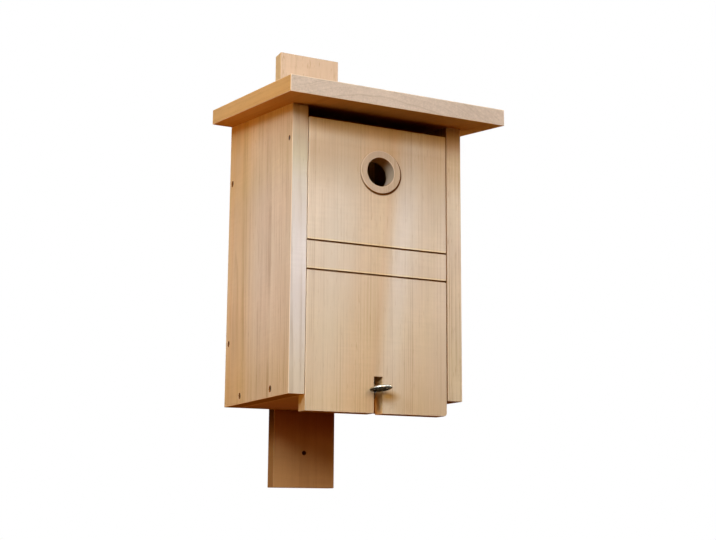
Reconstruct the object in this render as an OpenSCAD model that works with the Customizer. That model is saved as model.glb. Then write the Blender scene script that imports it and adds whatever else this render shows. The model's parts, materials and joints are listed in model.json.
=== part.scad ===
// Nest box: six boards round a hollow, a front that swings up on two pins, a turned
// ring in its entrance, a screw eye that locks it, and a tall mounting board behind.
// X is across, Y runs from the front to the back and Z is up. The origin is on the rear
// face of the mounting board, on its middle line, level with the underside of the box.

/* [Box] */
// Width over the two side walls
box_w = 202; // [160:1:260]
// Depth of the side walls, front to back
box_d = 200; // [160:1:260]
// Height of the side walls at the front
front_h = 306; // [250:1:400]
// Fall of the roof over each 100 mm towards the front
roof_fall = 16; // [8:1:24]
// Thickness of the side walls, back and floor
wall_t = 18; // [15:0.5:24]

/* [Roof] */
// Thickness of the roof board
roof_t = 18; // [15:0.5:24]
// Reach of the roof past each side wall
eave_side = 24; // [10:1:40]
// Reach of the roof past the front
eave_front = 54; // [30:1:80]
// Distance of the roof screws from the front and the rear of the walls
roof_screw_inset = 35; // [25:1:60]

/* [Mounting board] */
// Width of the board
mount_w = 78; // [60:1:110]
// Thickness of the board
mount_t = 18; // [15:0.5:24]
// Height of the board above the rear top of the walls
mount_above = 107; // [80:1:150]
// Length of the board below the underside of the box
mount_below = 91; // [70:1:140]
// Diameter of its two screw holes
mount_hole_d = 5; // [4:0.5:8]
// Distance of each hole from its end of the board
mount_hole_inset = 41; // [20:1:45]

/* [Front panel] */
// Thickness of the panel
panel_t = 18; // [15:0.5:24]
// Gap between the panel and each side wall
side_gap = 1; // [0.6:0.1:3]
// Gap between the panel and the front edge of the floor
floor_gap = 0.5; // [0.3:0.1:2]
// Height of the air gap above the panel
vent_gap = 12; // [8:1:20]
// Length of the panel below the underside of the box
panel_drop = 16.5; // [10:0.5:25]
// Radius of the worn lower right corner
worn_corner_r = 4; // [1:0.5:8]
// Height of the upper saw groove above the underside of the box
upper_groove_z = 161; // [150:1:170]
// Height of the lower saw groove above the underside of the box
lower_groove_z = 130; // [110:1:140]
// Height of each saw groove's cut
groove_w = 2; // [1.5:0.5:4]
// Depth of each saw groove
groove_deep = 4; // [2:0.5:6]

/* [Entrance] */
// Diameter of the entrance
entrance_d = 32; // [26:1:34]
// Outer diameter of the ring
ring_d = 47; // [42:1:56]
// Distance of the entrance's centre below the top of the panel
entrance_drop = 51; // [45:1:90]
// Distance of the entrance's centre to the right of the middle line
entrance_x = 1; // [-10:0.5:10]
// Distance that the ring stands proud of the panel
ring_proud = 2.5; // [1:0.5:5]
// Easing of the ring's front edges
ring_ease = 0.8; // [0.4:0.1:1.5]

/* [Pivot pins] */
// Diameter of each pin
pin_d = 4; // [3:0.5:6]
// Diameter of each pin's head
pin_head_d = 5.5; // [5.5:0.5:9]
// Thickness of each pin's head
pin_head_t = 1.5; // [1:0.5:3]
// Depth of the heads under the face of the wall
pin_sink = 0.5; // [0.3:0.1:2]
// Length of each pin inside the panel
pin_grip = 17; // [10:1:25]
// Distance of the pins below the top of the panel
pin_below_top = 24; // [18:1:30]

/* [Latch] */
// Outer diameter of the screw eye
eye_d = 24; // [20:0.5:28]
// Diameter of the eye's wire
wire_d = 3.5; // [3:0.5:5]
// Gap between the eye and the panel
eye_gap = 0.8; // [0.8:0.1:3]
// Turn of the eye from level
eye_tilt = 5; // [0:1:10]
// Angle at which the eye is bent up from its shank
eye_lift = 7; // [0:1:8]
// Distance of the shank to the left of the middle line
eye_offset = 2.75; // [0:0.25:3]
// Height of the shank above the underside of the floor
eye_height = 7.25; // [6:0.25:10]
// Length of the shank inside the floor
shank_grip = 22; // [15:1:30]
// Room between the wire and each side of the slot that the eye passes through
slot_play = 3.25; // [1.5:0.25:6]
// Room above the eye in its slot when it stands upright
slot_headroom = 3; // [1:0.5:6]

/* [Screws] */
// Length of each wall and roof screw
screw_len = 40; // [35:1:50]
// Diameter of each screw's shank
screw_d = 3.5; // [3:0.5:4.5]
// Diameter of each screw's head
screw_head_d = 7; // [6:0.5:9]
// Depth of the heads under the wood
screw_sink = 1.5; // [0.5:0.1:2.5]
// Height between the two screws in the back wall
back_screw_span = 192; // [120:1:210]
// Distance between the two screws in the floor
floor_screw_span = 96; // [60:1:100]
// Height between the two screws that hold the mounting board
mount_screw_span = 200; // [120:1:220]

/* [Hidden] */
$fn = 64;
play = 0.05;                                  // radial clearance round pins and screws
over = 1;                                     // overshoot of a cut past a face
tip_len = 3;                                  // length of each pointed tip
tip_r = 0.4;                                  // radius at each point
half_w = box_w / 2;
inner_w = box_w - 2 * wall_t;
back_y = -mount_t;                            // rear of the box
front_y = back_y - box_d;                     // front of the box
rise = roof_fall / 100;
rear_h = front_h + box_d * rise;
roof_front_y = front_y - eave_front;
floor_front_y = front_y + panel_t + floor_gap;
panel_w = inner_w - 2 * side_gap;
panel_top = front_h - vent_gap;
pin_y = front_y + panel_t / 2;
pin_z = panel_top - pin_below_top;
entrance_z = panel_top - entrance_drop;
eye_r = (eye_d - wire_d) / 2;                 // middle radius of the eye's wire
neck_y = front_y - eye_gap - wire_d / 2;      // where the eye's wire meets its shank
slot_w = wire_d + 2 * slot_play;
slot_top = eye_height + eye_d / 2 + slot_headroom;
wall_mid_x = half_w - wall_t / 2;
back_mid_y = back_y - wall_t / 2;
mid_y = (front_y + back_y) / 2;
mount_top = rear_h + mount_above;
mount_screw_len = mount_t + wall_t - screw_sink - 2;

pale = "#d9bc94";
tan_wood = "#c9a277";
pink_wood = "#cfb498";
steel = "#c3c6c4";

// Height of the roof's underside at depth y
function under_roof(y) = front_h + (y - front_y) * rise;
function side_name(side) = side < 0 ? "left" : "right";

// Each screw: name, place of the head, turn of a screw that points down, and length
WALL_SPOTS = [
    ["upper_back", back_mid_y, (rear_h + back_screw_span) / 2],
    ["lower_back", back_mid_y, (rear_h - back_screw_span) / 2],
    ["front_floor", mid_y - floor_screw_span / 2, wall_t / 2],
    ["rear_floor", mid_y + floor_screw_span / 2, wall_t / 2]
];
WALL_SCREWS = [for (side = [-1, 1], spot = WALL_SPOTS)
    [str(side_name(side), "_", spot[0], "_screw"),
     [side * half_w, spot[1], spot[2]], [0, side * 90, 0], screw_len]];
ROOF_SPOTS = [
    ["front_roof", front_y + roof_screw_inset],
    ["rear_roof", back_y - roof_screw_inset]
];
ROOF_SCREWS = [for (side = [-1, 1], spot = ROOF_SPOTS)
    [str(side_name(side), "_", spot[0], "_screw"),
     [side * wall_mid_x, spot[1], under_roof(spot[1]) + roof_t], [atan(rise), 0, 0], screw_len]];
MOUNT_SCREWS = [for (way = [-1, 1])
    [way < 0 ? "lower_mount_screw" : "upper_mount_screw",
     [0, 0, (rear_h + way * mount_screw_span) / 2], [-90, 0, 0], mount_screw_len]];
SCREWS = concat(WALL_SCREWS, ROOF_SCREWS, MOUNT_SCREWS);
BOARDS = ["roof_board", "left_wall", "right_wall", "back_wall", "floor_board",
    "mounting_board", "front_panel", "entrance_ring", "latch_eye",
    "left_pivot_pin", "right_pivot_pin"];

// A board with its outline in Y and Z, from x to x + width
module upright_slab(x, width, outline) {
    translate([x, 0, 0]) rotate([90, 0, 90]) linear_extrude(width) polygon(outline);
}

// A cylinder along Y, starting at y
module bore_y(d, x, y, z, length) {
    translate([x, y, z]) rotate([-90, 0, 0]) cylinder(d = d, h = length);
}

// A countersunk screw pointing down, its head sunk under z = 0, grown by the play given
module screw_shape(length, grow = 0) {
    head_r = screw_head_d / 2 + grow;
    shank_r = screw_d / 2 + grow;
    neck_z = -screw_sink - (head_r - shank_r);
    end_z = -screw_sink - length - grow;
    rotate_extrude() polygon([
        [0, -screw_sink], [head_r, -screw_sink], [shank_r, neck_z],
        [shank_r, end_z + tip_len], [tip_r, end_z], [0, end_z]
    ]);
}

// The hole that a screw leaves in the boards that it joins
module screw_hole(screw) {
    translate(screw[1]) rotate(screw[2]) {
        screw_shape(screw[3], play);
        translate([0, 0, -screw_sink]) cylinder(r = screw_head_d / 2 + play, h = screw_sink + 5);
    }
}

module screw_holes(screws) {
    for (screw = screws) screw_hole(screw);
}

// A pivot pin on one side, pointing inwards, grown by the play given
module pin_shape(side, grow = 0) {
    tip_x = half_w - wall_t - side_gap - pin_grip - grow;
    head_x = half_w - pin_sink;
    translate([0, pin_y, pin_z]) rotate([0, side * 90, 0]) {
        translate([0, 0, tip_x]) cylinder(d = pin_d + 2 * grow, h = head_x - tip_x);
        translate([0, 0, head_x - pin_head_t - grow])
            cylinder(d = pin_head_d + 2 * grow, h = pin_head_t + grow);
    }
}

// The pin's bore, open to the face of the wall
module pin_hole(side) {
    pin_shape(side, play);
    translate([0, pin_y, pin_z]) rotate([0, side * 90, 0])
        translate([0, 0, half_w - pin_sink - pin_head_t])
            cylinder(d = pin_head_d + 2 * play, h = pin_sink + pin_head_t + over);
}

// Bevelled front and rear, so both ends of the roof are upright
module roof_board() {
    color(pink_wood) difference() {
        upright_slab(-half_w - eave_side, box_w + 2 * eave_side, [
            [roof_front_y, under_roof(roof_front_y)],
            [back_y, rear_h],
            [back_y, rear_h + roof_t],
            [roof_front_y, under_roof(roof_front_y) + roof_t]
        ]);
        screw_holes(ROOF_SCREWS);
    }
}

module side_wall(side) {
    color(tan_wood) difference() {
        upright_slab(side < 0 ? -half_w : half_w - wall_t, wall_t,
            [[front_y, 0], [back_y, 0], [back_y, rear_h], [front_y, front_h]]);
        screw_holes(WALL_SCREWS);
        screw_holes(ROOF_SCREWS);
        pin_hole(side);
    }
}

module back_wall() {
    inside_y = back_y - wall_t;
    color(tan_wood) difference() {
        upright_slab(-inner_w / 2, inner_w,
            [[inside_y, 0], [back_y, 0], [back_y, rear_h], [inside_y, under_roof(inside_y)]]);
        screw_holes(WALL_SCREWS);
        screw_holes(MOUNT_SCREWS);
    }
}

module floor_board() {
    depth = back_y - wall_t - floor_front_y;
    color(tan_wood) difference() {
        translate([-inner_w / 2, floor_front_y, 0]) cube([inner_w, depth, wall_t]);
        screw_holes(WALL_SCREWS);
        bore_y(wire_d + 2 * play, -eye_offset, floor_front_y - over, eye_height,
            shank_grip + over + play);
    }
}

module mounting_board() {
    length = mount_top + mount_below;
    color(tan_wood) difference() {
        translate([-mount_w / 2, -mount_t, -mount_below]) cube([mount_w, mount_t, length]);
        for (z = [mount_hole_inset - mount_below, mount_top - mount_hole_inset])
            bore_y(mount_hole_d, 0, -mount_t - over, z, mount_t + 2 * over);
        screw_holes(MOUNT_SCREWS);
    }
}

// Outline of the front panel, with its slot and worn corner, seen from the front
module panel_outline() {
    right = panel_w / 2;
    difference() {
        translate([-right, -panel_drop]) square([panel_w, panel_top + panel_drop]);
        translate([-slot_w / 2, -panel_drop - over])
            square([slot_w, slot_top + panel_drop + over]);
        difference() {
            translate([right - worn_corner_r, -panel_drop - over])
                square([worn_corner_r + over, worn_corner_r + over]);
            translate([right - worn_corner_r, worn_corner_r - panel_drop])
                circle(r = worn_corner_r);
        }
    }
}

module front_panel() {
    color(pale) difference() {
        translate([0, front_y + panel_t, 0]) rotate([90, 0, 0])
            linear_extrude(panel_t) panel_outline();
        bore_y(ring_d + 2 * play, entrance_x, front_y - over, entrance_z, panel_t + 2 * over);
        for (z = [upper_groove_z, lower_groove_z])
            translate([-inner_w / 2, front_y - over, z - groove_w / 2])
                cube([inner_w, groove_deep + over, groove_w]);
        for (side = [-1, 1]) pin_hole(side);
    }
}

// Turned ring, let in through the panel and flush with its rear
module entrance_ring() {
    length = panel_t + ring_proud;
    outer = ring_d / 2;
    inner = entrance_d / 2;
    color(pink_wood) translate([entrance_x, front_y + panel_t, entrance_z]) rotate([90, 0, 0])
        rotate_extrude() polygon([
            [inner, 0], [outer, 0], [outer, length - ring_ease], [outer - ring_ease, length],
            [inner + ring_ease, length], [inner, length - ring_ease]
        ]);
}

// Screw eye on a shank that runs through the panel's slot into the floor
module latch_eye() {
    shank_end = floor_front_y + shank_grip;
    color(steel) translate([-eye_offset, 0, eye_height]) {
        rotate([0, -eye_tilt, 0]) translate([0, neck_y, 0]) rotate([-eye_lift, 0, 0])
            translate([0, -eye_r, 0]) rotate_extrude() translate([eye_r, 0]) circle(d = wire_d);
        bore_y(wire_d, 0, neck_y, 0, shank_end - tip_len - neck_y);
        translate([0, shank_end - tip_len, 0]) rotate([-90, 0, 0])
            cylinder(r1 = wire_d / 2, r2 = tip_r, h = tip_len);
    }
}

module pivot_pin(side) {
    color(steel) pin_shape(side);
}

module screw_piece(screw) {
    color(steel) translate(screw[1]) rotate(screw[2]) screw_shape(screw[3]);
}

roof_board();
side_wall(-1);  // left_wall
side_wall(1);  // right_wall
back_wall();
floor_board();
mounting_board();
front_panel();
entrance_ring();
latch_eye();
pivot_pin(-1);  // left_pivot_pin
pivot_pin(1);  // right_pivot_pin
for (screw = SCREWS)
    screw_piece(screw);
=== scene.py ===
"""A nest box of planed pine, whose front swings up on two pins, in the order it is put together."""

import json
import math

import bmesh
import bpy
from mathutils import Matrix, Vector


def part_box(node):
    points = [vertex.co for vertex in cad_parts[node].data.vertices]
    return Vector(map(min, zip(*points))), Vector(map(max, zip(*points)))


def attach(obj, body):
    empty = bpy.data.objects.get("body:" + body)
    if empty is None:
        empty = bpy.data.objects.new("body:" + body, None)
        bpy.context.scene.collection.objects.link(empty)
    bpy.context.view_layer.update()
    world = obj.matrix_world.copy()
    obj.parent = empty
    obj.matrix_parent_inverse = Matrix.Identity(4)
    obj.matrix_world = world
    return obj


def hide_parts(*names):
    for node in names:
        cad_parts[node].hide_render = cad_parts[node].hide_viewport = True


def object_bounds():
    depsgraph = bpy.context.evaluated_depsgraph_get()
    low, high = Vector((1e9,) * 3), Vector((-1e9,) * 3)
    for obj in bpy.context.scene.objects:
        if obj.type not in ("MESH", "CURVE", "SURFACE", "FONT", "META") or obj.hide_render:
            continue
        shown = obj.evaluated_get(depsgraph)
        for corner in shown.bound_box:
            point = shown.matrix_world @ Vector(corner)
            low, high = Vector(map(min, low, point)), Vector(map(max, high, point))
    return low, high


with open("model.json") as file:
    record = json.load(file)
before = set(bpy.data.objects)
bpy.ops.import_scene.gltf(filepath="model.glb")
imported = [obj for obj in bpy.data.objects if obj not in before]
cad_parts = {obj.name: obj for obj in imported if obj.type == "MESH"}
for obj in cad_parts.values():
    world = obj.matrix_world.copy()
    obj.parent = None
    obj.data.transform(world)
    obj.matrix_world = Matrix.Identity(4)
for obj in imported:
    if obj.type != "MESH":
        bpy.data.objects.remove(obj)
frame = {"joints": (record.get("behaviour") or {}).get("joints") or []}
cad_low, cad_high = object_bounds()

# --- Side walls -------------------------------------------------------------------------------
# Two upright pine boards, planed on all faces, with their tops sawn to the slope of the roof.
# The sharp edges were taken off with sandpaper, and holes are drilled and countersunk for the
# screws into the back wall and the floor, and for the pin that the front swings on.

edge_radius = 0.0007                # of the sanded edges
play = 0.00005                      # round a screw or a pin in its hole

wall_low, wall_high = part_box("left_wall")
roof_low, roof_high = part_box("roof_board")
front_y, back_y = wall_low.y, wall_high.y
wall_t = wall_high.x - wall_low.x
slope = (wall_high.z - roof_low.z) / (back_y - roof_low.y)
tilt = math.atan(slope)


def block(low, high):
    """A new bmesh box between two corners."""
    bm = bmesh.new()
    middle = (Vector(low) + Vector(high)) / 2
    size = Vector(high) - Vector(low)
    place = Matrix.Translation(middle) @ Matrix.Diagonal((*size, 1))
    bmesh.ops.create_cube(bm, size=1, matrix=place)
    return bm


def lathe(outline, steps):
    """A new bmesh turned about Z from (radius, height) points that start and end on the axis or meet."""
    bm = bmesh.new()
    corners = [bm.verts.new((radius, 0, height)) for radius, height in outline]
    sides = [bm.edges.new(pair) for pair in zip(corners, corners[1:])]
    bmesh.ops.spin(bm, geom=corners + sides, axis=(0, 0, 1), cent=(0, 0, 0), angle=math.tau,
                   steps=steps, use_merge=True)
    bmesh.ops.remove_doubles(bm, verts=bm.verts, dist=1e-6)
    bmesh.ops.recalc_face_normals(bm, faces=bm.faces)
    return bm


def join(bm, other, place=Matrix.Identity(4)):
    """Adds another bmesh to this one, moved to its place."""
    carrier = bpy.data.meshes.new("carrier")
    bmesh.ops.transform(other, matrix=place, verts=other.verts)
    other.to_mesh(carrier)
    bm.from_mesh(carrier)
    other.free()
    bpy.data.meshes.remove(carrier)


def cut(bm, cutters, recess_shade=1.0):
    """Takes the cutters out of a bmesh and returns the rest, marked with how much painted shade
    darkens the new faces, which are the walls of the recess. Both bmeshes are used up."""
    solids = []
    for name, source, mark in (("stock", bm, 0), ("cutters", cutters, recess_shade)):
        painted_shade = source.faces.layers.float.get("painted_shade") or source.faces.layers.float.new("painted_shade")
        for face in source.faces:
            face[painted_shade] = max(mark, face[painted_shade])
        mesh = bpy.data.meshes.new(name)
        source.to_mesh(mesh)
        source.free()
        solids.append(bpy.data.objects.new(name, mesh))
        bpy.context.collection.objects.link(solids[-1])
    boolean = solids[0].modifiers.new("cut", "BOOLEAN")
    boolean.operation = "DIFFERENCE"
    boolean.solver = "EXACT"
    boolean.object = solids[1]
    result = bpy.data.meshes.new_from_object(
        solids[0].evaluated_get(bpy.context.evaluated_depsgraph_get()))
    rest = bmesh.new()
    rest.from_mesh(result)
    for solid in solids:
        mesh = solid.data
        bpy.data.objects.remove(solid)
        bpy.data.meshes.remove(mesh)
    bpy.data.meshes.remove(result)
    return rest


def ease(bm, radius=edge_radius, sharpest=math.radians(50), segments=3, edge_paleness=1.0):
    """Rounds the sharp edges, and marks how pale the new faces are, as wear and as a painted highlight.
    """
    worn = bm.faces.layers.float.get("worn") or bm.faces.layers.float.new("worn")
    edges = [e for e in bm.edges if e.is_manifold and e.calc_face_angle() > sharpest]
    rounded = bmesh.ops.bevel(bm, geom=edges, offset=radius, offset_type="OFFSET", affect="EDGES",
                              segments=segments, profile=0.5, material=-1, clamp_overlap=False)
    for face in rounded["faces"]:
        face[worn] = edge_paleness


def finish_piece(bm, node, material, body):
    """Makes the piece that stands for a CAD node, shaded smooth except over its sharp edges."""
    mesh = bpy.data.meshes.new(node)
    bm.to_mesh(mesh)
    bm.free()
    mesh.shade_smooth()
    mesh.set_sharp_from_angle(angle=math.radians(40))
    mesh.materials.append(material)
    piece = bpy.data.objects.new(node + "_finished", mesh)
    bpy.context.collection.objects.link(piece)
    weighted = piece.modifiers.new("flat faces", "WEIGHTED_NORMAL")
    weighted.keep_sharp = True
    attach(piece, body)
    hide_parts(node)
    return piece


def blank_nodes(owner):
    """The node tree of a material or a world, emptied."""
    owner.use_nodes = True
    owner.node_tree.nodes.clear()
    return owner.node_tree


def to_linear(hex_colour):
    """An sRGB hex colour as the linear colour that a socket takes."""
    channels = [int(hex_colour[i:i + 2], 16) / 255 for i in (1, 3, 5)]
    return (*[c / 12.92 if c <= 0.04045 else ((c + 0.055) / 1.055) ** 2.4 for c in channels], 1)


def add(tree, kind, inputs=None, **settings):
    """Adds a node with its settings, and gives each input a value or a link."""
    node = tree.nodes.new("ShaderNode" + kind)
    for name, value in settings.items():
        setattr(node, name, value)
    for socket, value in (inputs or {}).items():
        if isinstance(value, bpy.types.NodeSocket):
            tree.links.new(value, node.inputs[socket])
        else:
            node.inputs[socket].default_value = value
    return node.outputs


# Planed pine, cut lengthways from a log: pale early wood and darker late wood lie in rings round
# the heart, so a face shows faint lines or tall arches, and sawn ends show arcs and look dull.
#
# Most of the boards' lists of tones in this file, most of the lamps' powers and the camera's place
# were worked out by other programs, and not chosen by hand. The tones also hold some light and
# shade that the lamps don't give. Where a comment calls that weather, damp or dirt, it is a guess.
MIX_A, MIX_B, MIX_RESULT = 6, 7, 2                  # the colour sockets of a Mix node
GRAIN_TURNS = {"y": (math.pi / 2 - tilt, 0, 0), "x": (0, -math.pi / 2, 0), "z": (0, 0, 0)}
NO_HEIGHT_SHADE = ((0.0, "#ffffff"), (0.3, "#ffffff"))      # a board with no painted shade by height


def planed_pine(name, tones, end_grain, heart, ring_width, seed, grain="z", across=(1, 0, 0),
                wander=0.025, faces=(), height_shade=NO_HEIGHT_SHADE, shade_spots=()):
    """Pine whose grain runs along an axis, with the heart of its log through a point.

    Each tone is (place across the board, colour, strength of the late wood there). The two colours
    of the end grain are its early and late wood. Each face with colours of its own, some of them
    painted light and shade, is (the way it faces, its colours as (height, colour), strength of the
    late wood). The painted shade by height over the whole board is (height, colour). Each spot of
    painted shade is (its middle, the stretch of its distances, the distance where it is still full,
    where it ends, its colour)."""
    material = bpy.data.materials.new(name)
    tree = blank_nodes(material)
    spot = add(tree, "TexCoord")
    turn = Matrix.Identity(3)
    for angle, axis in zip(GRAIN_TURNS[grain], "XYZ"):
        turn = Matrix.Rotation(angle, 3, axis) @ turn
    log = add(tree, "Mapping", {"Vector": spot["Object"], "Location": -(turn @ Vector(heart)),
                                "Rotation": GRAIN_TURNS[grain]})["Vector"]

    def wood_noise(wide, long, detail, roughness, spread=None):
        """Noise in patches so many millimetres wide and long, along the grain.

        A spread is (low, high, least, most): values from low to high become least to most."""
        scale = (1000 / wide, 1000 / wide, 1000 / long)
        place = add(tree, "Mapping", {"Vector": log, "Location": (seed, wide, seed), "Scale": scale})
        value = add(tree, "TexNoise", {"Vector": place["Vector"], "Scale": 1, "Detail": detail,
                                       "Roughness": roughness})["Fac"]
        if spread:
            low, high, least, most = spread
            value = add(tree, "MapRange", {"Value": value, "From Min": low, "From Max": high,
                                           "To Min": least, "To Max": most})["Result"]
        return value

    def facing(way, either=False):
        """How squarely the surface faces a way, or either that way or the opposite one, from 0 to 1."""
        towards = add(tree, "VectorMath", {0: spot["Normal"], 1: way}, operation="DOT_PRODUCT")["Value"]
        if either:
            towards = add(tree, "Math", {0: towards}, operation="ABSOLUTE")["Value"]
        return add(tree, "MapRange", {"Value": towards, "From Min": 0.5, "From Max": 0.9},
                   interpolation_type="SMOOTHSTEP")["Result"]

    def bands_along(value, stops):
        """Bands that run into each other along a value, from stops of (value, colour, alpha)."""
        first, last = stops[0][0], stops[-1][0]
        share = add(tree, "MapRange", {"Value": value, "From Min": first, "From Max": last})["Result"]
        bands = add(tree, "ValToRGB", {"Fac": share})
        elements = bands["Color"].node.color_ramp.elements
        while len(elements) < len(stops):
            elements.new(0.5)
        for element, (place, colour, alpha) in zip(elements, stops):
            element.position = (place - first) / (last - first)
            element.color = (*to_linear(colour)[:3], alpha)
        return bands

    # Growth rings sway from side to side, in bends some 60 mm wide and a metre long
    flat = add(tree, "VectorMath", {0: log, 1: (1, 1, 0.06)}, operation="MULTIPLY")["Vector"]
    sway = add(tree, "TexNoise", {"Vector": flat, "Scale": 1 / 0.0625, "Detail": 2.5,
                                  "Roughness": 0.5})["Fac"]
    sway = add(tree, "Math", {0: sway, 1: 0.5}, operation="SUBTRACT")["Value"]
    reach = add(tree, "VectorMath", {0: flat}, operation="LENGTH")["Value"]
    reach = add(tree, "Math", {0: sway, 1: wander, 2: reach}, operation="MULTIPLY_ADD")["Value"]

    # Good and poor summers, which last four or five rings, change the rings' width and strength
    seasons = add(tree, "Math", {0: reach, 1: 0.22 / ring_width, 2: seed},
                  operation="MULTIPLY_ADD")["Value"]
    seasons = add(tree, "TexNoise", {"W": seasons, "Scale": 1, "Detail": 2, "Roughness": 0.6},
                  noise_dimensions="1D")["Fac"]
    years = add(tree, "Math", {0: reach, 1: ring_width}, operation="DIVIDE")["Value"]
    years = add(tree, "Math", {0: seasons, 1: 5.0, 2: years}, operation="MULTIPLY_ADD")["Value"]
    season = add(tree, "Math", {0: years}, operation="FRACT")["Value"]
    ring = add(tree, "MapRange", {"Value": season, "From Min": 0.3, "From Max": 0.97},
               interpolation_type="SMOOTHSTEP")["Result"]
    bold = add(tree, "MapRange", {"Value": seasons, "From Min": 0.38, "From Max": 0.62,
                                  "To Min": 0.2})["Result"]
    late = add(tree, "Math", {0: ring, 1: bold}, operation="MULTIPLY")["Value"]

    # The tone changes across the board, from sapwood to heartwood, in bands that sway as the rings do
    place = add(tree, "VectorMath", {0: spot["Object"], 1: across}, operation="DOT_PRODUCT")["Value"]
    place = add(tree, "Math", {0: sway, 1: 0.014, 2: place}, operation="MULTIPLY_ADD")["Value"]
    bands = bands_along(place, tones)
    wood, line_strength = bands["Color"], bands["Alpha"]

    # Colours of their own on some faces, some of them painted light and shade, and painted shade over
    # all of them by height
    height = add(tree, "SeparateXYZ", {"Vector": spot["Object"]})["Z"]
    for way, colours, strength in faces:
        share = facing(way)
        other = bands_along(height, [(level, colour, 1) for level, colour in colours])["Color"]
        wood = add(tree, "Mix", {"Factor": share, MIX_A: wood, MIX_B: other},
                   data_type="RGBA")[MIX_RESULT]
        line_strength = add(tree, "Mix", {0: share, 2: line_strength, 3: strength},
                            data_type="FLOAT")[0]
    shade_tint = bands_along(height, [(level, colour, 1) for level, colour in height_shade])["Color"]
    wood = add(tree, "Mix", {"Factor": 1.0, MIX_A: wood, MIX_B: shade_tint}, data_type="RGBA",
               blend_type="MULTIPLY")[MIX_RESULT]

    # The late wood comes and goes along its lines, where the plane met it at a changing slant
    broken = wood_noise(9, 70, 2, 0.6, (0.35, 0.65, 0.15, 1.0))
    lines = add(tree, "Math", {0: late, 1: broken}, operation="MULTIPLY")["Value"]
    lines = add(tree, "Math", {0: lines, 1: line_strength}, operation="MULTIPLY")["Value"]
    wood = add(tree, "Mix", {"Factor": lines, MIX_A: wood, MIX_B: to_linear("#b59a78")},
               data_type="RGBA", blend_type="MULTIPLY")[MIX_RESULT]

    # Sawn ends, where the face lies square across the grain
    end_share = facing(turn.transposed().col[2], either=True)
    early_end, late_end = (to_linear(colour) for colour in end_grain)
    ends = add(tree, "Mix", {"Factor": late, MIX_A: early_end, MIX_B: late_end},
               data_type="RGBA")[MIX_RESULT]
    wood = add(tree, "Mix", {"Factor": end_share, MIX_A: wood, MIX_B: ends},
               data_type="RGBA")[MIX_RESULT]

    # Soft patches some 50 mm across and streaks some 12 mm wide, where the sap rose unevenly
    patch = wood_noise(50, 110, 3, 0.55, (0.3, 0.7, 0.965, 1.035))
    streak = wood_noise(12, 260, 2, 0.5, (0.3, 0.7, 0.98, 1.02))

    # Fibres are 0.03 mm wide; bundles of them are drawn 1.3 mm wide and 22 mm long, so that they
    # show. On sawn ends the cut tips of the fibres make a mottle, drawn 2.2 mm wide.
    fibre = wood_noise(1.3, 22, 4, 0.6)
    bundle = add(tree, "MapRange", {"Value": fibre, "From Min": 0.25, "From Max": 0.75,
                                    "To Min": 0.965, "To Max": 1.035})["Result"]
    mottle = wood_noise(2.2, 30, 3, 0.7, (0.3, 0.7, 0.90, 1.10))
    mottle = add(tree, "Mix", {0: end_share, 2: 1.0, 3: mottle}, data_type="FLOAT")[0]

    # Where the grain waves, faint bands cross it, 3 mm apart, in patches
    wave = wood_noise(26, 3, 1.5, 0.5)
    waved = wood_noise(70, 80, 1, 0.5, (0.45, 0.65, 0.2, 1.0))
    figure = add(tree, "Math", {0: wave, 1: waved}, operation="MULTIPLY")["Value"]
    sheen = add(tree, "MapRange", {"Value": figure, "From Min": 0.1, "From Max": 0.6,
                                   "To Min": 0.97, "To Max": 1.03})["Result"]
    light = patch
    for shade in (streak, bundle, mottle, sheen):
        light = add(tree, "Math", {0: light, 1: shade}, operation="MULTIPLY")["Value"]
    wood = add(tree, "Mix", {"Factor": 1.0, MIX_A: wood, MIX_B: light}, data_type="RGBA",
               blend_type="MULTIPLY")[MIX_RESULT]

    # Resin canals: short darker dashes, drawn 0.9 mm wide instead of 0.1 mm
    canal = wood_noise(0.9, 14, 1, 0.4, (0.68, 0.80, 0.0, 1.0))
    canal = add(tree, "Math", {0: canal, 1: line_strength}, operation="MULTIPLY")["Value"]
    wood = add(tree, "Mix", {"Factor": canal, MIX_A: wood, MIX_B: to_linear("#cdb79c")},
               data_type="RGBA", blend_type="MULTIPLY")[MIX_RESULT]

    # Handled edges are rubbed half way to bare pale wood, which also paints a highlight along them,
    # and painted shade darkens the walls of cuts and a wall's edge in the gap beside the panel
    worn = add(tree, "Attribute", attribute_name="worn")["Fac"]
    worn = add(tree, "Math", {0: worn, 1: 0.5}, operation="MULTIPLY")["Value"]
    wood = add(tree, "Mix", {"Factor": worn, MIX_A: wood, MIX_B: to_linear("#f6e0c4")},
               data_type="RGBA")[MIX_RESULT]
    painted_shade = add(tree, "Attribute", attribute_name="painted_shade")["Fac"]
    wood = add(tree, "Mix", {"Factor": painted_shade, MIX_A: wood, MIX_B: to_linear("#b07b48")},
               data_type="RGBA", blend_type="MULTIPLY")[MIX_RESULT]

    # Spots of painted shadow and shade
    for middle, stretch, full, end, colour in shade_spots:
        away = add(tree, "VectorMath", {0: spot["Object"], 1: middle}, operation="SUBTRACT")["Vector"]
        away = add(tree, "VectorMath", {0: away, 1: stretch}, operation="MULTIPLY")["Vector"]
        away = add(tree, "VectorMath", {0: away}, operation="LENGTH")["Value"]
        share = add(tree, "MapRange", {"Value": away, "From Min": end, "From Max": full})["Result"]
        wood = add(tree, "Mix", {"Factor": share, MIX_A: wood, MIX_B: to_linear(colour)},
                   data_type="RGBA", blend_type="MULTIPLY")[MIX_RESULT]

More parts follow.
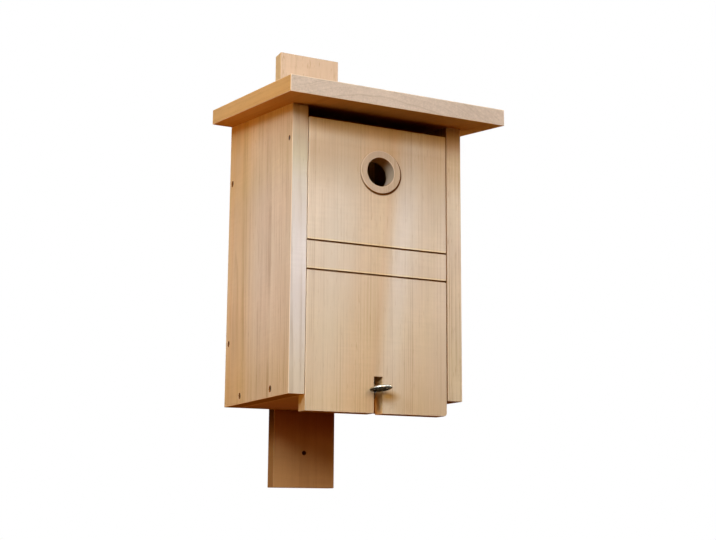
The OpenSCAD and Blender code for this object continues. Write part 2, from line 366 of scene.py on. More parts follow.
    # Bare wood has no gloss. The plane leaves it satin, with the hard late wood a hair proud, and
    # the saw leaves its ends rough.
    rough = add(tree, "MapRange", {"Value": fibre, "From Min": 0.3, "From Max": 0.7,
                                   "To Min": 0.56, "To Max": 0.7})["Result"]
    rough = add(tree, "Mix", {0: end_share, 2: rough, 3: 0.85}, data_type="FLOAT")[0]
    relief = add(tree, "Math", {0: late, 1: 0.5, 2: fibre}, operation="MULTIPLY_ADD")["Value"]
    relief = add(tree, "Math", {0: figure, 1: 0.4, 2: relief}, operation="MULTIPLY_ADD")["Value"]
    bump = add(tree, "Bump", {"Height": relief, "Strength": 0.3, "Distance": 0.0003})["Normal"]
    shader = add(tree, "BsdfPrincipled", {"Base Color": wood, "Roughness": rough, "Normal": bump,
                                          "IOR": 1.5, "Specular IOR Level": 0.0})["BSDF"]
    add(tree, "OutputMaterial", {"Surface": shader})
    return material


room = 0.004                        # how far a cutter stands out of the wood
screw_low, screw_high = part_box("left_upper_back_screw")
head_radius = (screw_high.z - screw_low.z) / 2
screw_length = screw_high.x - screw_low.x
screw_sunk = screw_low.x - wall_low.x
shank_radius = 0.00175
WALL_SCREWS = ("upper_back", "lower_back", "front_floor", "rear_floor")
ROOF_SCREWS = ("front_roof", "rear_roof")


def screw_place(node):
    """The place of a CAD screw's head, for a screw that points down its own -Z, at the wood's face."""
    low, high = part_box(node)
    middle = (low + high) / 2
    if "roof" in node:
        head = Vector((middle.x, low.y + head_radius * math.cos(tilt),
                       high.z - head_radius * math.sin(tilt)))
        turn = Matrix.Rotation(tilt, 4, "X")
    elif "mount" in node:
        head = Vector((middle.x, high.y, middle.z))
        turn = Matrix.Rotation(-math.pi / 2, 4, "X")
    else:
        side = 1 if node.startswith("right") else -1
        head = Vector((high.x if side > 0 else low.x, middle.y, middle.z))
        turn = Matrix.Rotation(side * math.pi / 2, 4, "Y")
    return Matrix.Translation(head) @ turn @ Matrix.Translation((0, 0, screw_sunk))


def screw_holes(nodes, length=screw_length):
    """The countersunk holes for several CAD screws, as one bmesh of cutters."""
    head, shank = head_radius + play, shank_radius + play
    neck = -screw_sunk - head + shank
    foot = -screw_sunk - length
    cutters = bmesh.new()
    for node in nodes:
        hole = lathe([(0, room), (head, room), (head, -screw_sunk), (shank, neck), (shank, foot),
                      (0, foot)], steps=40)
        join(cutters, hole, screw_place(node))
    return cutters


pin_low, pin_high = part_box("left_pivot_pin")
pin_spot = (pin_low + pin_high) / 2
pin_head_radius = (pin_high.z - pin_low.z) / 2
pin_radius = 0.002
pin_head_t = 0.0015
pin_sunk = 0.0005
panel_gap = 0.001                   # between the panel and each wall
pin_bore = 0.0175                   # how deep a pin's bore goes into the panel


def pin_hole(side):
    """The bore for a pivot pin, open to the outer face of the wall, and its place."""
    head, shank = pin_head_radius + play, pin_radius + play
    neck = -pin_sunk - pin_head_t
    foot = -(wall_t + panel_gap + pin_bore)
    bore = lathe([(0, room), (head, room), (head, neck), (shank, neck), (shank, foot), (0, foot)],
                 steps=40)
    turn = Matrix.Rotation(side * math.pi / 2, 4, "Y")
    face = Vector((side * abs(wall_low.x), pin_spot.y, pin_spot.z))
    return bore, Matrix.Translation(face) @ turn


# Both walls are yellower near the foot and under the roof than between them, as painted shade.
# The left wall's front edge has bleached, with painted shade near its top under the roof, and the
# right wall's inner face, inside the box, is darker than its outer one as painted shade.
wall_pine = {
    "left": planed_pine(
        "planed pine, left wall",
        across=(0, 1, 0),
        tones=((-0.213, "#ddcebb", 0.6), (-0.193, "#decfbd", 0.7), (-0.163, "#e1d5c6", 0.65),
               (-0.143, "#ddcfc0", 0.75), (-0.133, "#e1d5c7", 0.7), (-0.113, "#e0d4c4", 0.7),
               (-0.093, "#e0d0bb", 0.6), (-0.083, "#ddcbaf", 0.45), (-0.073, "#d8c4a4", 0.45),
               (-0.063, "#dec8a8", 0.35), (-0.043, "#dac5a8", 0.25), (-0.033, "#dcc3a2", 0.25),
               (-0.018, "#dbc8a6", 0.25)),
        end_grain=("#b98a55", "#a3733c"),
        heart=(-0.150, -0.060, 0),
        ring_width=0.0036,
        seed=1.3,
        faces=(((0, -1, 0), ((0, "#e2dcda"), (0.165, "#e2dcda"), (0.225, "#d9d5ce"),
                             (0.25, "#d2cfc4"), (0.27, "#cfcbc3"), (0.287, "#e2ded8")), 0.4),),
        height_shade=((0.0, "#ece3cf"), (0.022, "#eee7d4"), (0.045, "#f4efe3"),
               (0.075, "#f6f4ef"), (0.105, "#fbf9f7"), (0.14, "#fcfcfc"),
               (0.165, "#fcfcfb"), (0.195, "#fcf9f6"), (0.225, "#f9f5ee"),
               (0.25, "#f7f0df"), (0.27, "#f7ecd8"), (0.29, "#fcf0dc"),
               (0.31, "#ffefcf"), (0.33, "#ffe8c3"))),
    "right": planed_pine(
        "planed pine, right wall",
        across=(0, 1, 0),
        tones=((-0.218, "#dfccb6", 0.7), (-0.120, "#decab1", 0.7), (-0.018, "#e0ccb2", 0.7)),
        end_grain=("#b98a55", "#a3733c"),
        heart=(0.160, -0.180, 0),
        ring_width=0.0032,
        seed=4.1,
        faces=(((-1, 0, 0), ((0, "#b58a5c"), (0.294, "#a0703c")), 0.5),),
        height_shade=((0.0, "#efefe4"), (0.045, "#f0f0e4"), (0.075, "#f3f4ee"),
               (0.135, "#f5f5f2"), (0.165, "#f7f8fa"), (0.2, "#f9fdfe"),
               (0.225, "#f9fdfe"), (0.25, "#eeeade"), (0.27, "#ece8d9"),
               (0.285, "#fffcf4"))),
}


def slope_top(board):
    """Saws the top of an upright board to the slope of the roof."""
    low_y, high_y = (pick(v.co.y for v in board.verts) for pick in (min, max))
    for v in board.verts:
        if v.co.z > 0 and v.co.y < low_y + play:
            v.co.z -= slope * (high_y - low_y)


for side, name in ((-1, "left"), (1, "right")):
    wall = block(*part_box(name + "_wall"))
    slope_top(wall)
    holes = screw_holes([f"{name}_{spot}_screw" for spot in WALL_SCREWS + ROOF_SCREWS])
    join(holes, *pin_hole(side))
    wall = cut(wall, holes)
    ease(wall)
    if side > 0:
        # The wall's rounded edge beside the panel is darkened, as painted shade in the gap there
        worn, painted_shade = (wall.faces.layers.float[layer] for layer in ("worn", "painted_shade"))
        wall.normal_update()
        for face in wall.faces:
            if face.normal.x < -0.3 and face.normal.y < -0.3:
                face[worn], face[painted_shade] = 0, 1
    finish_piece(wall, name + "_wall", wall_pine[name], "root")

# --- Back wall and floor ----------------------------------------------------------------------
# Two more pine boards held between the side walls by screws through the walls. The top of the
# back wall is sawn to the slope of the roof, and the floor has a pilot hole for the screw eye.

back_pine = planed_pine(
    "planed pine, back wall",
    tones=((-0.083, "#d2b48e", 0.5), (0.01, "#d6ba97", 0.5), (0.04, "#caa377", 0.5),
           (0.083, "#d3b690", 0.5)),
    end_grain=("#b58550", "#9a6b38"),
    heart=(0.02, 0.05, 0),
    ring_width=0.0032,
    seed=7.7)
back = block(*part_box("back_wall"))
slope_top(back)
holes = screw_holes([f"{side}_{spot}_screw" for side in ("left", "right") for spot in WALL_SCREWS[:2]])
mount_screws = ("lower_mount_screw", "upper_mount_screw")
mount_low, mount_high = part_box(mount_screws[0])
mount_length = mount_high.y - mount_low.y
join(holes, screw_holes(mount_screws, mount_length))
back = cut(back, holes)
ease(back)
finish_piece(back, "back_wall", back_pine, "root")

# The floor's front edge, behind the slot in the panel, is painted a dark grey-brown as shade
floor_pine = planed_pine(
    "planed pine, floor",
    across=(0, 1, 0),
    tones=((-0.2, "#d3ab80", 0.3), (-0.11, "#cfa17d", 0.3), (-0.036, "#c2937c", 0.3)),
    end_grain=("#b58550", "#9a6b38"),
    grain="x",
    heart=(0, -0.10, -0.06),
    ring_width=0.0030,
    seed=2.9,
    faces=(((0, -1, 0), ((0.0, "#7d6044"), (0.018, "#8f7254")), 0.3),))
latch_spot = Vector(next(joint["pos_m"] for joint in frame["joints"] if joint["name"] == "latch_turn"))
eye_tip_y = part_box("latch_eye")[1].y
wire_radius = 0.00175
pilot_length = 0.03
floor_board = block(*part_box("floor_board"))
holes = screw_holes([f"{side}_{spot}_screw" for side in ("left", "right") for spot in WALL_SCREWS[2:]])
pilot = lathe([(0, 0), (wire_radius + play, 0), (wire_radius + play, pilot_length), (0, pilot_length)],
              steps=32)
join(holes, pilot, Matrix.Translation((latch_spot.x, eye_tip_y, latch_spot.z))
     @ Matrix.Rotation(math.pi / 2, 4, "X"))
floor_board = cut(floor_board, holes)
ease(floor_board)
finish_piece(floor_board, "floor_board", floor_pine, "root")

# --- Roof -------------------------------------------------------------------------------------
# One wide pine board whose grain runs from back to front. Its front and rear edges are sawn
# upright across the grain, so they look dull, and four screws go through it into the side walls.

# The left end is yellower towards the front. The underside shows the tones across the board,
# which are painted shade: brown in the middle, yellower towards the ends and darker than the top
end_low, end_high = roof_low.z + 0.009, roof_high.z - 0.009
roof_pine = planed_pine(
    "planed pine, roof",
    tones=((-0.125, "#d39c5a", 0.3), (-0.100, "#c69553", 0.3), (-0.063, "#a97b41", 0.35),
           (-0.013, "#ae8141", 0.35), (0.030, "#b58344", 0.35), (0.060, "#be8841", 0.3),
           (0.087, "#e5ab57", 0.3), (0.125, "#fabd5f", 0.3)),
    end_grain=("#c9b9aa", "#bbab9b"),
    grain="y",
    heart=(-0.02, roof_low.y, roof_low.z - 0.22),
    ring_width=0.0016,
    wander=0.012,
    seed=5.2,
    faces=(((-1, 0, 0), ((end_low, "#d1a56a"), (end_high, "#d7b179")), 0.35),
           ((1, 0, 0), ((end_low, "#d4ac77"), (end_high, "#d4ac77")), 0.35),
           ((0, 0, 1), ((end_low, "#cdb494"), (end_high, "#cdb494")), 0.5)))
roof = block(roof_low, roof_high)
fall = slope * (roof_high.y - roof_low.y)
for v in roof.verts:
    rear = v.co.y > (roof_low.y + roof_high.y) / 2
    top = v.co.z > (roof_low.z + roof_high.z) / 2
    if rear and not top:
        v.co.z = roof_low.z + fall
    if top and not rear:
        v.co.z = roof_high.z - fall
roof = cut(roof, screw_holes([f"{side}_{spot}_screw" for side in ("left", "right")
                              for spot in ROOF_SCREWS]))
ease(roof)
finish_piece(roof, "roof_board", roof_pine, "root")

# --- Mounting board ---------------------------------------------------------------------------
# A long narrow pine board behind the box, screwed on from behind. It stands proud above the roof
# and below the floor, where a hole at each end takes the fixing to a tree or a wall.

# The board's sides are painted with the box's shadow, darkest right under the box, and its deeper
# orange tones below the box are painted shade
shadowed_sides = ((-0.091, "#977750"), (-0.045, "#8f7048"), (-0.028, "#765534"), (-0.012, "#54341c"),
              (0.0, "#3d2410"), (0.380, "#d9bd91"), (0.445, "#d9bd91"))
board_pine = planed_pine(
    "planed pine, mounting board",
    across=(0, 0, 1),
    tones=((-0.091, "#ca9d6a", 0.15), (-0.050, "#d1a26d", 0.15), (-0.035, "#dda872", 0.15),
           (-0.020, "#daa069", 0.15), (0.0, "#daa069", 0.15), (0.380, "#dabea4", 1.0),
           (0.445, "#d8bca1", 1.0)),
    end_grain=("#b98a55", "#a0713c"),
    heart=(0.01, 0.05, 0),
    ring_width=0.0036,
    seed=9.4,
    faces=(((-1, 0, 0), shadowed_sides, 0.3),
           ((1, 0, 0), shadowed_sides, 0.3),
           ((0, 1, 0), ((-0.091, "#d8bca1"), (0.445, "#d8bca1")), 0.8)))
low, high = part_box("mounting_board")
board = block(low, high)
holes = screw_holes(mount_screws, mount_length)
bolt_inset = 0.041                  # from each end of the board
bolt_radius = 0.0025
thick = high.y - low.y
for z in (low.z + bolt_inset, high.z - bolt_inset):
    drill = lathe([(0, 0), (bolt_radius, 0), (bolt_radius, 2 * thick), (0, 2 * thick)], steps=40)
    join(holes, drill, Matrix.Translation((0, (low.y + high.y) / 2 + thick, z))
         @ Matrix.Rotation(math.pi / 2, 4, "X"))
board = cut(board, holes)
ease(board, edge_paleness=0.1)
finish_piece(board, "mounting_board", board_pine, "root")

# --- Front panel ------------------------------------------------------------------------------
# The swinging front: a pine board between the walls, bored for the entrance ring, with two
# shallow saw grooves across it, a slot at its foot for the screw eye and one corner worn round.

low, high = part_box("front_panel")
panel_t = high.y - low.y
slot_half, slot_top = 0.005, 0.02225                # half the slot's width, and how high it goes
groove_half, groove_deep = 0.001, 0.004             # half a groove's height, and its depth
upper_groove, lower_groove = 0.161, 0.130           # their middles' heights
corner_radius = 0.004               # of the worn corner
foot_spread = 0.0004                # how far the left edge leans out at its foot
over = 0.002                        # how far the saw's cuts run past the board
ring_low, ring_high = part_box("entrance_ring")
ring_spot = (ring_low + ring_high) / 2
ring_radius = (ring_high.x - ring_low.x) / 2


def lip_highlight(groove, colour):
    """The panel's colours over a groove's upper lip, with a pale band painted along it as a highlight."""
    lip = groove + groove_half
    highlight = "#fffade"
    return ((lip - 0.0004, colour), (lip - 0.0001, highlight), (lip + 0.0010, highlight), (lip + 0.0014, colour))


# The faces that look left are the slot's right cheek, which ends at the slot's top, and the
# panel's left edge. The cheek's deeper orange is painted shade in the slot, and the edge's paler
# tone is painted light in the gap beside the wall. The spots are a painted shadow round the lower
# right of the ring, a painted shadow of the screw eye below and right of it, and painted shade at
# the foot of the left edge.
panel_pine = planed_pine(
    "planed pine, front panel",
    across=(1, 0, -0.1),
    tones=((-0.106, "#ecdcc8", 0.25), (-0.086, "#ebdbc8", 0.28), (-0.067, "#eddfcd", 0.28),
           (-0.047, "#ead9c4", 0.4), (-0.034, "#e9d3b9", 0.5), (-0.015, "#e7d0b2", 0.5),
           (-0.009, "#e5cbae", 0.5), (-0.003, "#e7d2b9", 0.45), (0.004, "#ecdece", 0.45),
           (0.011, "#eee2d5", 0.45), (0.018, "#ede1d3", 0.45), (0.024, "#ecdecd", 0.45),
           (0.037, "#e9d7c2", 0.4), (0.050, "#e8d6bf", 0.3), (0.063, "#e9d7c3", 0.2),
           (0.076, "#e8d7c5", 0.2)),
    end_grain=("#b98a55", "#a0713c"),
    heart=(-0.30, -0.16, 0),
    ring_width=0.0032,
    seed=3.6,
    faces=(((-1, 0, 0), ((-0.0165, "#f6d8ac"), (0.0225, "#f6d8ac"), (0.025, "#f6e8d8"),
                         (0.294, "#f6e8d8")), 0.3),),
    shade_spots=((ring_spot + Vector((0.0011, 0, -0.0007)), (1, 0, 1), ring_radius + 0.0009,
             ring_radius + 0.0015, "#7d5634"),
            ((0.0115, 0, 0.0021), (0.5, 0, 1), 0.0015, 0.0079, "#dcbf86"),
            ((low.x - foot_spread, 0, -0.012), (10, 0, 1), 0.010, 0.016, "#dfe3e8")),
    # Painted shade by height, darker under the roof, with painted highlights over the grooves' lips
    height_shade=((-0.006, "#e6ddca"), (0.017, "#e7e0d3"), (0.042, "#e8e3d9"), (0.068, "#e9e6dd"),
           (0.095, "#ebe9e4"), *lip_highlight(lower_groove, "#ecebea"), *lip_highlight(upper_groove, "#eceded"),
           (0.19, "#edeeef"), (0.213, "#ebebeb"), (0.237, "#e4e1da"), (0.256, "#ded6ca"),
           (0.268, "#e2dacd"), (0.277, "#f9f9f3"), (0.288, "#fffded")))
panel = block(low, high)
for v in panel.verts:
    # The left edge was planed a little out of square, so its gap narrows towards the foot
    if v.co.x < 0 and v.co.z < 0:
        v.co.x -= foot_spread
corner = [e for e in panel.edges
          if all(v.co.x > 0 and v.co.z < 0 for v in e.verts)
          and abs(e.verts[0].co.y - e.verts[1].co.y) > play]
bmesh.ops.bevel(panel, geom=corner, offset=corner_radius, offset_type="OFFSET", affect="EDGES",
                segments=8, profile=0.5, material=-1)

# The slot, the grooves and the bores were cut after the sanding, so their edges are sharp
ease(panel)
slot = block((-slot_half, low.y - over, low.z - over), (slot_half, high.y + over, slot_top))
panel = cut(panel, slot, recess_shade=0.05)
cutters = bmesh.new()
for z in (upper_groove, lower_groove):
    join(cutters, block((low.x - over, low.y - over, z - groove_half),
                        (high.x + over, low.y + groove_deep, z + groove_half)))
for side in (-1, 1):
    join(cutters, *pin_hole(side))
panel = cut(panel, cutters, recess_shade=0.5)
bore = lathe([(0, -panel_t), (ring_radius + play, -panel_t), (ring_radius + play, panel_t), (0, panel_t)],
             steps=96)
bmesh.ops.transform(bore, verts=bore.verts,
                    matrix=Matrix.Translation((ring_spot.x, (low.y + high.y) / 2, ring_spot.z))
                    @ Matrix.Rotation(math.pi / 2, 4, "X"))
panel = cut(panel, bore)
finish_piece(panel, "front_panel", panel_pine, "front")

# --- Entrance ring ----------------------------------------------------------------------------
# A ring turned from close-grained pine and glued into the panel, 2.5 mm proud, so that birds and
# squirrels can't widen the hole. Sandpaper on the lathe left its rims round.

ring_pine = planed_pine(
    "turned pine, entrance ring",
    tones=((-0.022, "#c5b19b", 0.4), (0.0, "#c2ae99", 0.4), (0.024, "#c7b299", 0.4)),
    end_grain=("#b98a55", "#a0713c"),
    heart=(0.05, -0.16, 0),
    ring_width=0.0022,
    seed=6.1)
hole_radius = 0.016
length = ring_high.y - ring_low.y
bm = lathe([(hole_radius, 0), (ring_radius, 0), (ring_radius, length), (hole_radius, length),
            (hole_radius, 0)], steps=96)
ease(bm, segments=4)
bmesh.ops.transform(bm, verts=bm.verts, matrix=Matrix.Translation((ring_spot.x, ring_high.y, ring_spot.z))
                    @ Matrix.Rotation(math.pi / 2, 4, "X"))
finish_piece(bm, "entrance_ring", ring_pine, "front")

# --- Screw eye --------------------------------------------------------------------------------
# Bright zinc-plated wire, bent into a nearly closed ring whose end stops short of the shank. The
# shank is screwed into the front edge of the floor, through the slot at the foot of the panel.

# Zinc plating on steel: a thin bluish-white mirror when it is new, which clouds in the weather.
# Its darkest colours here are painted shade: under the screw eye and next to the wood, and on the
# sunk heads of the screws and pins.


def plated_steel(name, colour, stain_colour, roughness, shade_colour=None, wood_y=0.0):
    """Steel with a thin coat of zinc, polished or left as it comes from the plating bath.

    A shade colour is painted underneath and next to the wood, as shade and as a dark reflection."""
    material = bpy.data.materials.new(name)
    tree = blank_nodes(material)
    spot = add(tree, "TexCoord")

    # The zinc is cloudy, in patches some 2.5 mm across
    cloud = add(tree, "TexNoise", {"Vector": spot["Object"], "Scale": 1 / 0.0025, "Detail": 3,
                                   "Roughness": 0.6})["Fac"]
    tone = add(tree, "Mix", {"Factor": cloud, MIX_A: to_linear(colour), MIX_B: to_linear(stain_colour)},
               data_type="RGBA")[MIX_RESULT]
    if shade_colour:
        down = add(tree, "VectorMath", {0: spot["Normal"], 1: (0, 0, -1)},
                   operation="DOT_PRODUCT")["Value"]
        under = add(tree, "MapRange", {"Value": down, "From Min": 0.0, "From Max": 0.3},
                    interpolation_type="SMOOTHSTEP")["Result"]
        depth = add(tree, "SeparateXYZ", {"Vector": spot["Object"]})["Y"]
        near = add(tree, "MapRange", {"Value": depth, "From Min": wood_y - 0.012,
                                      "From Max": wood_y - 0.008},
                   interpolation_type="SMOOTHSTEP")["Result"]
        shaded = add(tree, "Math", {0: under, 1: near}, operation="MAXIMUM")["Value"]
        tone = add(tree, "Mix", {"Factor": shaded, MIX_A: tone, MIX_B: to_linear(shade_colour)},
                   data_type="RGBA")[MIX_RESULT]
    rough = add(tree, "MapRange", {"Value": cloud, "To Min": roughness * 0.7,
                                   "To Max": roughness * 1.4})["Result"]
    bump = add(tree, "Bump", {"Height": cloud, "Strength": 0.15, "Distance": 0.0001})["Normal"]
    shader = add(tree, "BsdfPrincipled", {"Base Color": tone, "Roughness": rough, "Metallic": 1.0,
                                          "Normal": bump})["BSDF"]
    add(tree, "OutputMaterial", {"Surface": shader})
    return material


# The eye's underside and its part next to the panel are painted dark, as shade and reflection
bright_zinc = plated_steel("bright zinc-plated wire", "#e6e6de", "#a8a28e", 0.2, "#1e170c", front_y)
eye_radius = 0.01025                # to the middle of the wire
eye_gap = 0.0008                    # between the eye and the panel
eye_tilt = math.radians(5)          # its right side up, where it locks the panel
eye_lift = math.radians(7)          # its front up, bent at the shank
open_angle = math.radians(27)       # between the wire's end and the shank
tip_length, tip_radius = 0.003, 0.0004
end_radius = 0.0004                 # of the filed edge at the wire's end
bend_radius = 0.0032                # of the wire where it leaves the shank
bend_x = -math.sqrt((eye_radius + bend_radius) ** 2 - bend_radius ** 2)
bend_angle = math.atan2(-bend_x, bend_radius)
middle_y = front_y - eye_gap - wire_radius - eye_radius
shank_x = middle_y - eye_tip_y

# The wire is drawn along X to the eye, round the bend and round the eye, whose middle is at zero
bm = bmesh.new()
bmesh.ops.create_circle(bm, segments=20, radius=tip_radius,
                        matrix=Matrix.Translation((shank_x, 0, 0)) @ Matrix.Rotation(math.pi / 2, 4, "Y"))
start = list(bm.edges)


def ends_of(edges):
    """The corners of some edges."""
    return list({v for e in edges for v in e.verts})


def draw_out(edges, offset, widen=1):
    """Extrudes the wire's end along X, widens it and returns the edges of the new end."""
    made = bmesh.ops.extrude_edge_only(bm, edges=edges)["geom"]
    edges = [part for part in made if isinstance(part, bmesh.types.BMEdge)]
    bmesh.ops.translate(bm, vec=(offset, 0, 0), verts=ends_of(edges))
    bmesh.ops.scale(bm, vec=(1, widen, widen), verts=ends_of(edges))
    return edges


def bend(edges, centre, angle, steps):
    """Bends the wire's end round a centre in the plane of the eye and returns the new end's edges."""
    made = bmesh.ops.spin(bm, geom=edges + ends_of(edges), cent=centre, axis=(0, 0, 1), angle=angle,
                          steps=steps)
    return [part for part in made["geom_last"] if isinstance(part, bmesh.types.BMEdge)]


end = draw_out(start, tip_length, wire_radius / tip_radius)
end = draw_out(end, bend_x - shank_x - tip_length)
end = bend(end, (bend_x, bend_radius, 0), bend_angle, 8)
end = bend(end, (0, 0, 0), -(math.pi / 2 + bend_angle + math.pi - open_angle), 64)
for loop in (start, end):
    bmesh.ops.contextual_create(bm, geom=loop)
bmesh.ops.recalc_face_normals(bm, faces=bm.faces)
ease(bm, radius=end_radius, sharpest=math.radians(70))
bmesh.ops.rotate(bm, cent=(bend_x, 0, 0), matrix=Matrix.Rotation(-eye_lift, 3, "Y"),
                 verts=[v for v in bm.verts if v.co.x > bend_x + play])
bmesh.ops.transform(bm, verts=bm.verts, matrix=Matrix.Translation((latch_spot.x, middle_y, latch_spot.z))
                    @ Matrix.Rotation(-eye_tilt, 4, "Y") @ Matrix.Rotation(-math.pi / 2, 4, "Z"))
finish_piece(bm, "latch_eye", bright_zinc, "latch")

# --- Screws -----------------------------------------------------------------------------------
# Countersunk wood screws, zinc plated, with a cross recess and a coarse thread. Their heads were
# driven a little below the face of the wood, and are coloured dark brown as painted shade there.

dark_zinc = plated_steel("zinc-plated steel with painted shade", "#3a2e20", "#5a4a36", 0.5)
recess_span, recess_wide, recess_deep = 0.0040, 0.0009, 0.0018
recess_taper = 0.35                 # the width of the recess at its foot, as a share of the top
recess_room = 0.001                 # how far its cutter stands out of the head
head_rim = 0.0002                   # the height of the head's upright rim
neck_length = 0.006                 # of the plain shank under the head's cone
core_radius = shank_radius * 0.72   # under the thread
core_step = 0.0004                  # the height over which the shank narrows to the core
point_length = 0.005
pitch = 0.0018
ridge_height = 0.0008               # of the thread where it meets the core
root_sunk = 0.0002                  # how far the thread's root lies inside the core
thread_gap = 0.001                  # between the plain shank and the thread
bare_tip = 0.004                    # below the thread


def wood_screw(length):
    """A countersunk screw that points down, with the top of its head at z = 0."""
    neck = -(head_radius - shank_radius)
    bm = lathe([(0, 0), (head_radius - head_rim, 0), (head_radius, -head_rim),
                (shank_radius, neck - head_rim), (shank_radius, neck - neck_length),
                (core_radius, neck - neck_length - core_step), (core_radius, -length + point_length),
                (0, -length)], steps=40)
    for turn in range(2):
        arm = block((-recess_span / 2, -recess_wide / 2, -recess_deep),
                    (recess_span / 2, recess_wide / 2, recess_room))
        for v in arm.verts:
            if v.co.z < 0:
                v.co.x *= recess_taper
        arm_cutter = bmesh.new()
        join(arm_cutter, arm, Matrix.Rotation(turn * math.pi / 2, 4, "Z"))
        bm = cut(bm, arm_cutter)
    return bm


def thread(length):
    """The raised helix along a screw's lower part."""
    start = -(head_radius - shank_radius) - neck_length - thread_gap
    turns = int((length + start - bare_tip) / pitch)
    root_radius = core_radius - root_sunk
    bm = bmesh.new()
    corners = [bm.verts.new(place) for place in (
        (root_radius, 0, start), (shank_radius, 0, start - ridge_height / 2),
        (root_radius, 0, start - ridge_height))]
    ridge = [bm.edges.new((corners[0], corners[1])), bm.edges.new((corners[1], corners[2])),
             bm.edges.new((corners[2], corners[0]))]
    per_turn = 14
    bmesh.ops.spin(bm, geom=corners + ridge, axis=(0, 0, 1), cent=(0, 0, 0), angle=math.tau * turns,
                   steps=per_turn * turns, dvec=(0, 0, -pitch / per_turn))
    return bm


every_screw = [f"{side}_{spot}_screw" for side in ("left", "right") for spot in WALL_SCREWS + ROOF_SCREWS]
for index, node in enumerate([*every_screw, *mount_screws]):
    length = mount_length if node in mount_screws else screw_length
    screw = wood_screw(length)
    join(screw, thread(length))
    bmesh.ops.recalc_face_normals(screw, faces=screw.faces)
    sunk = Matrix.Translation((0, 0, -screw_sunk))
    turned = Matrix.Rotation(index * 0.7, 4, "Z")       # each recess lies as the driver left it
    bmesh.ops.transform(screw, verts=screw.verts, matrix=screw_place(node) @ sunk @ turned)
    finish_piece(screw, node, dark_zinc, "root")

# --- Pivot pins -------------------------------------------------------------------------------
# Two round steel nails, one through each wall into the edge of the panel, just under its top.
# Their small heads sit a little below the face of the wall.

pin_rim = 0.0003                    # the slanted edge of a head
pin_point = 0.002                   # the length of a point
for side, name in ((-1, "left"), (1, "right")):
    low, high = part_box(name + "_pivot_pin")
    length = high.x - low.x
    bm = lathe([(0, 0), (pin_head_radius - pin_rim, 0), (pin_head_radius, -pin_rim),
                (pin_head_radius, -pin_head_t), (pin_radius, -pin_head_t),
                (pin_radius, -length + pin_point), (0, -length)], steps=40)
    head = high.x if side > 0 else low.x
    middle = (low + high) / 2
    bmesh.ops.transform(bm, verts=bm.verts, matrix=Matrix.Translation((head, middle.y, middle.z))
                        @ Matrix.Rotation(side * math.pi / 2, 4, "Y"))
    # The heads are coloured dark brown as painted shade, as the screws' heads are
    finish_piece(bm, name + "_pivot_pin", dark_zinc, "root")

# --- Floor, light and camera ------------------------------------------------------------------
# A plain pale studio floor well below the box, and soft round lamps: cool white ones in front and
# at both sides, warm ones for light that comes back off wood nearby, and two for the right side
# and the back. The camera looks up a little, from the left of the front.

stage_drop, stage_radius = 0.6, 12
stage_mesh = bpy.data.meshes.new("studio_floor")
bm = bmesh.new()
bmesh.ops.create_circle(bm, cap_ends=True, segments=96, radius=stage_radius,
                        matrix=Matrix.Translation((0, 0, cad_low.z - stage_drop)))
bm.to_mesh(stage_mesh)
bm.free()


def shown(tree):
    """1 where a surface is seen, straight, in a gloss or through glass, and 0 for the light it gives."""
    ray = add(tree, "LightPath")
    seen = add(tree, "Math", {0: ray["Is Camera Ray"], 1: ray["Is Glossy Ray"]}, operation="ADD")["Value"]
    return add(tree, "Math", {0: seen, 1: ray["Is Transmission Ray"]}, operation="ADD",
               use_clamp=True)["Value"]


# The floor is seen as pale paint, but the light that it gives back is that of a brown wooden floor
floor_paint = bpy.data.materials.new("matt floor paint")
tree = blank_nodes(floor_paint)
seen = shown(tree)
tone = add(tree, "Mix", {"Factor": seen, MIX_A: to_linear("#56290a"), MIX_B: to_linear("#d8d8d8")},
           data_type="RGBA")[MIX_RESULT]
glow = add(tree, "Math", {0: seen, 1: 0.55}, operation="MULTIPLY")["Value"]
matt = add(tree, "BsdfDiffuse", {"Color": tone})["BSDF"]
lift = add(tree, "Emission", {"Color": to_linear("#ffffff"), "Strength": glow})["Emission"]
add(tree, "OutputMaterial", {"Surface": add(tree, "AddShader", {0: matt, 1: lift})["Shader"]})
stage_mesh.materials.append(floor_paint)
stage = bpy.data.objects.new("studio_floor", stage_mesh)
bpy.context.collection.objects.link(stage)

# The sky is seen as white, but gives a dim light, cool from above and brown from the sides
world = bpy.data.worlds.new("soft studio")
bpy.context.scene.world = world
tree = blank_nodes(world)
height = add(tree, "SeparateXYZ", {"Vector": add(tree, "TexCoord")["Generated"]})["Z"]
high_up = add(tree, "MapRange", {"Value": height, "From Min": 0.0, "From Max": 0.7},
              interpolation_type="SMOOTHSTEP")["Result"]
sky = add(tree, "Mix", {"Factor": high_up, MIX_A: to_linear("#2a1c0c"), MIX_B: to_linear("#48545b")},
          data_type="RGBA")[MIX_RESULT]
sky = add(tree, "Mix", {"Factor": shown(tree), MIX_A: sky, MIX_B: to_linear("#ffffff")},
          data_type="RGBA")[MIX_RESULT]
sky = add(tree, "Background", {"Color": sky, "Strength": 1.0})["Background"]
add(tree, "OutputWorld", {"Surface": sky})


def place_round(target, azimuth, elevation, distance):
    """A place seen from a target, with the turn that looks back at it."""
    a, e = math.radians(azimuth), math.radians(elevation)
    back = Vector((math.sin(a) * math.cos(e), -math.cos(a) * math.cos(e), math.sin(e)))
    turn = (-back).to_track_quat("-Z", "Y").to_matrix().to_4x4()
    return Matrix.Translation(Vector(target) + back * distance) @ turn


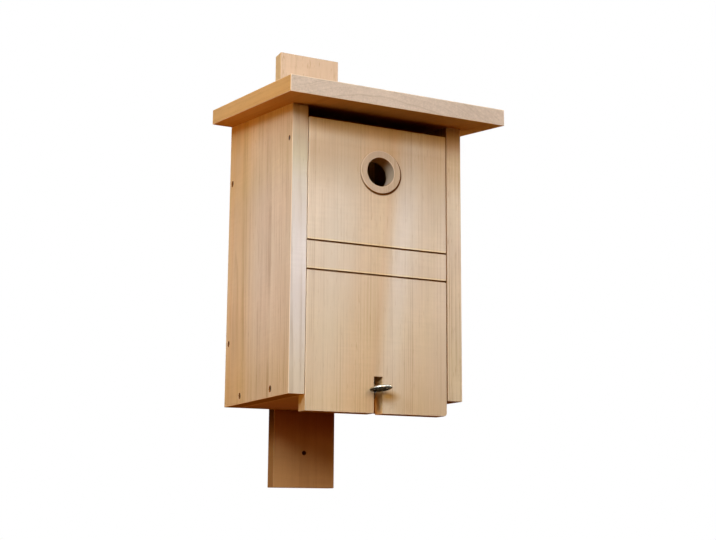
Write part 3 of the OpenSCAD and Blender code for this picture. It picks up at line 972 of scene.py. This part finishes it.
# Each lamp stands at degrees to the right of the front, degrees up and metres from the box, and
# has metres across, watts and a colour
box_middle = (0, front_y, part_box("front_panel")[1].z / 2)
for name, azimuth, elevation, distance, size, power, colour in (
        ("front lamp", 0, 22, 1.6, 0.9, 7.5, "#eff7ff"),
        ("key lamp", -60, 20, 1.6, 0.4, 8.4, "#eff7ff"),
        ("near key lamp", -35, 22, 1.6, 0.4, 7.0, "#eff7ff"),
        ("high lamp", -50, 50, 1.6, 0.5, 6.1, "#eff7ff"),
        ("left lamp", -100, 40, 1.6, 0.9, 1.6, "#eff7ff"),
        ("right lamp", 60, 40, 1.6, 0.9, 4.1, "#eff7ff"),
        ("warm reflector", -115, -25, 1.6, 0.9, 12.5, "#ffb859"),
        ("left warm fill", -30, 8, 1.6, 0.9, 3.3, "#ffe7a0"),
        ("front warm fill", 0, 8, 1.6, 0.9, 5.4, "#ffb859"),
        ("side lamp", 105, 15, 1.6, 0.9, 9.0, "#ffecd8"),
        ("rear lamp", 150, 30, 1.8, 1.0, 16.0, "#ffffff")):
    light = bpy.data.lights.new(name, "AREA")
    light.shape = "DISK"
    light.size = size
    light.energy = power
    light.color = to_linear(colour)[:3]
    lamp = bpy.data.objects.new(name, light)
    lamp.matrix_world = place_round(box_middle, azimuth, elevation, distance)
    lamp.visible_camera = False
    bpy.context.collection.objects.link(lamp)

lens = bpy.data.cameras.new("camera")
lens.sensor_width = 36
lens.lens = 58.69
lens.shift_x = 0.0015
lens.shift_y = 0.0491
lens.clip_start = 0.05
lens.clip_end = 30
camera = bpy.data.objects.new("camera", lens)
camera_target = (-0.0252, front_y, 0.0960)
camera_azimuth, camera_elevation, camera_distance = -24.94, -9.64, 1.222
camera_roll = math.radians(0.41)
camera.matrix_world = (place_round(camera_target, camera_azimuth, camera_elevation, camera_distance)
                       @ Matrix.Rotation(camera_roll, 4, "Z"))
bpy.context.collection.objects.link(camera)
bpy.context.scene.camera = camera
bpy.context.scene.view_settings.view_transform = "Standard"
